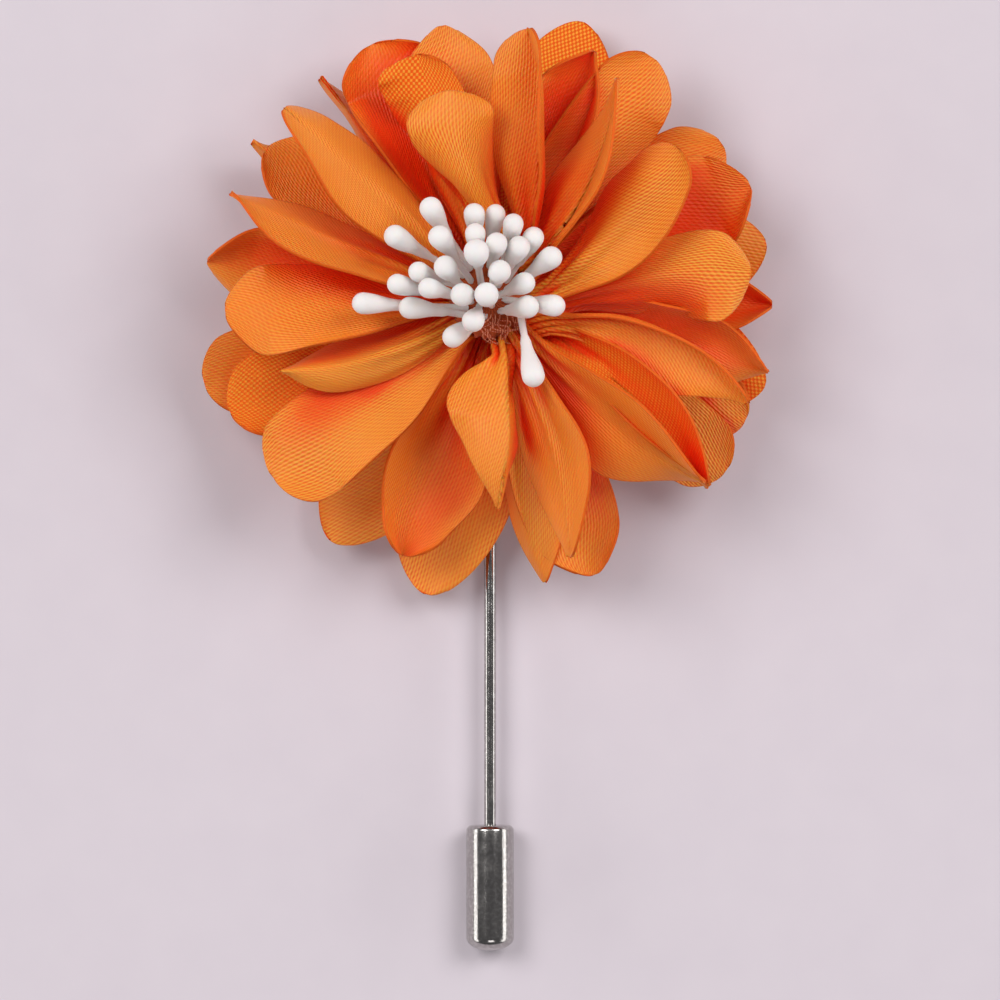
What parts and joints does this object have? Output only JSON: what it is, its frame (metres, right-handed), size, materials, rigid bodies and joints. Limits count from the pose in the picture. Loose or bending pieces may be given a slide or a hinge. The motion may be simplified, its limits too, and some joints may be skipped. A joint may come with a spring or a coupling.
{
  "type": "flower lapel pin",
  "caption": "Gathered satin flower with a tuft of stamens on a stick pin whose point is covered by a push-on metal cap.",
  "frame": {"origin": "middle of the whole pin, on the surface that it lies on", "axes": "+Z out of the flower's face, +Y from the needle's point towards the flower, so the needle runs along -Y, +X to the right as seen from in front"},
  "size_m": [0.0534, 0.0854, 0.0241],
  "materials": {
    "petal_satin": "orange satin with a fine diagonal rib, matte weave on the back",
    "gather_thread": "gathered cloth bound with thread",
    "stamen_pip": "matte chalky coating",
    "needle_metal": "polished nickel plating",
    "cap_metal": "polished nickel plating"
  },
  "bodies": {
    "pin": {"stick_pin": "needle_metal", "gather_core": "gather_thread", "stamens": "stamen_pip", "petal_top_01": "petal_satin", "petal_top_02": "petal_satin", "petal_top_03": "petal_satin", "petal_top_04": "petal_satin", "petal_top_05": "petal_satin", "petal_top_06": "petal_satin", "petal_top_07": "petal_satin", "petal_top_08": "petal_satin", "petal_top_09": "petal_satin", "petal_top_10": "petal_satin", "petal_top_11": "petal_satin", "petal_top_12": "petal_satin", "petal_top_13": "petal_satin", "petal_top_14": "petal_satin", "petal_top_15": "petal_satin", "petal_middle_01": "petal_satin", "petal_middle_02": "petal_satin", "petal_middle_03": "petal_satin", "petal_middle_04": "petal_satin", "petal_middle_05": "petal_satin", "petal_middle_06": "petal_satin", "petal_middle_07": "petal_satin", "petal_middle_08": "petal_satin", "petal_middle_09": "petal_satin", "petal_middle_10": "petal_satin", "petal_middle_11": "petal_satin", "petal_lower_01": "petal_satin", "petal_lower_02": "petal_satin", "petal_lower_03": "petal_satin", "petal_lower_04": "petal_satin", "petal_lower_05": "petal_satin", "petal_lower_06": "petal_satin", "petal_lower_07": "petal_satin", "petal_lower_08": "petal_satin", "petal_lower_09": "petal_satin", "petal_lower_10": "petal_satin", "petal_lower_11": "petal_satin", "petal_lower_12": "petal_satin", "petal_lower_13": "petal_satin"},
    "cap": {"cap": "cap_metal"}
  },
  "joints": [
    {"name": "cap_slide", "type": "slide", "parent": "pin", "child": "cap", "axis": [0, -1, 0], "range_m": [0, 0.02]}
  ]
}
